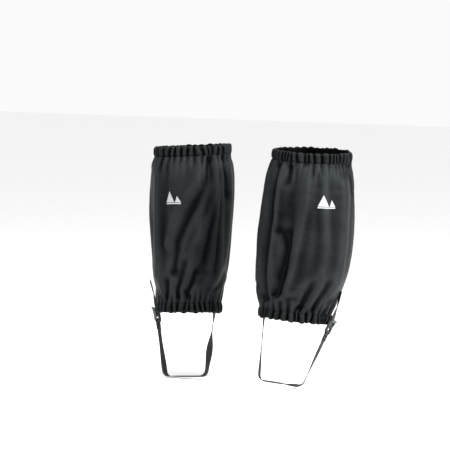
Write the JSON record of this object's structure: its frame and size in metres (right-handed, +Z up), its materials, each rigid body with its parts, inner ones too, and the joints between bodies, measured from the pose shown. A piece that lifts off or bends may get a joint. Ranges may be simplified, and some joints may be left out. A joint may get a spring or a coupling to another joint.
{
  "type": "hiking gaiters",
  "caption": "Pair of short pull-on gaiters: gathered cloth sleeves with elastic cuffs and hems, foot straps and ladder-lock buckles.",
  "frame": {"origin": "under the middle of the pair, level with the lowest foot strap", "axes": "+Z up the leg, -Y towards the toes, +X towards the wearer's left; the wearer's right gaiter is at -X"},
  "size_m": [0.3792, 0.1668, 0.3867],
  "materials": {
    "shell_fabric": "plain-woven nylon, black, satin",
    "gathered_fabric": "the same nylon, gathered over elastic",
    "thread": "black polyester sewing thread",
    "elastic": "braided elastic",
    "print_ink": "light grey transfer print",
    "webbing": "flat woven polypropylene webbing, dark grey, matte",
    "buckle_plastic": "moulded acetal, black, semi-matte"
  },
  "bodies": {
    "right_cuff": {"right_cuff_tunnel": "gathered_fabric", "right_cuff_elastic": "elastic", "right_cuff_stitching": "thread", "right_sleeve": "shell_fabric", "right_back_seam": "shell_fabric", "right_back_seam_stitching": "thread", "right_mark_print": "print_ink"},
    "right_hem": {"right_hem_tunnel": "gathered_fabric", "right_hem_elastic": "elastic", "right_hem_stitching": "thread", "right_adjuster_webbing": "webbing", "right_adjuster_bartack": "thread"},
    "right_stirrup": {"right_foot_strap": "webbing", "right_strap_end_bartack": "thread", "right_adjuster_wrap": "webbing"},
    "right_buckle": {"right_buckle": "buckle_plastic", "right_strap_loop": "webbing", "right_strap_loop_bartack": "thread"},
    "right_tail": {"right_adjuster_tail": "webbing"},
    "left_cuff": {"left_cuff_tunnel": "gathered_fabric", "left_cuff_elastic": "elastic", "left_cuff_stitching": "thread", "left_sleeve": "shell_fabric", "left_back_seam": "shell_fabric", "left_back_seam_stitching": "thread", "left_mark_print": "print_ink"},
    "left_hem": {"left_hem_tunnel": "gathered_fabric", "left_hem_elastic": "elastic", "left_hem_stitching": "thread", "left_adjuster_webbing": "webbing", "left_adjuster_bartack": "thread"},
    "left_stirrup": {"left_foot_strap": "webbing", "left_strap_end_bartack": "thread", "left_adjuster_wrap": "webbing"},
    "left_buckle": {"left_buckle": "buckle_plastic", "left_strap_loop": "webbing", "left_strap_loop_bartack": "thread"},
    "left_tail": {"left_adjuster_tail": "webbing"}
  },
  "joints": [
    {"name": "pair_spacing", "type": "slide", "parent": "right_cuff", "child": "left_cuff", "axis": [1, 0, 0], "range_m": [0, 0.15]},
    {"name": "right_sleeve_gather", "type": "slide", "parent": "right_cuff", "child": "right_hem", "axis": [-0.0557, 0.1191, 0.9913], "range_m": [0, 0.12], "deforming": ["right_sleeve", "right_back_seam", "right_back_seam_stitching", "right_mark_print"]},
    {"name": "right_strap_swing", "type": "hinge", "parent": "right_hem", "child": "right_stirrup", "pos_m": [-0.10658, -0.01713, 0.11246], "axis": [0.9888, 0.1385, 0.0558], "range_deg": [-35.5, 48.5]},
    {"name": "right_buckle_tilt", "type": "hinge", "parent": "right_stirrup", "child": "right_buckle", "pos_m": [-0.16508, -0.02711, 0.10114], "axis": [0.1235, -0.9686, 0.2159], "range_deg": [0, 32]},
    {"name": "right_tail_peel", "type": "hinge", "parent": "right_stirrup", "child": "right_tail", "pos_m": [-0.1688, -0.02433, 0.11573], "axis": [0.1235, -0.9686, 0.2159], "range_deg": [0, 90]},
    {"name": "left_sleeve_gather", "type": "slide", "parent": "left_cuff", "child": "left_hem", "axis": [0.0557, 0.1191, 0.9913], "range_m": [0, 0.12], "deforming": ["left_sleeve", "left_back_seam", "left_back_seam_stitching", "left_mark_print"]},
    {"name": "left_strap_swing", "type": "hinge", "parent": "left_hem", "child": "left_stirrup", "pos_m": [0.10386, -0.01713, 0.11246], "axis": [0.9744, 0.207, -0.0881], "range_deg": [-27.5, 56.5]},
    {"name": "left_buckle_tilt", "type": "hinge", "parent": "left_stirrup", "child": "left_buckle", "pos_m": [0.16631, -0.00662, 0.09902], "axis": [-0.2245, 0.9187, -0.3249], "range_deg": [0, 32]},
    {"name": "left_tail_peel", "type": "hinge", "parent": "left_stirrup", "child": "left_tail", "pos_m": [0.16952, -0.00094, 0.11287], "axis": [-0.2245, 0.9187, -0.3249], "range_deg": [0, 90]}
  ]
}
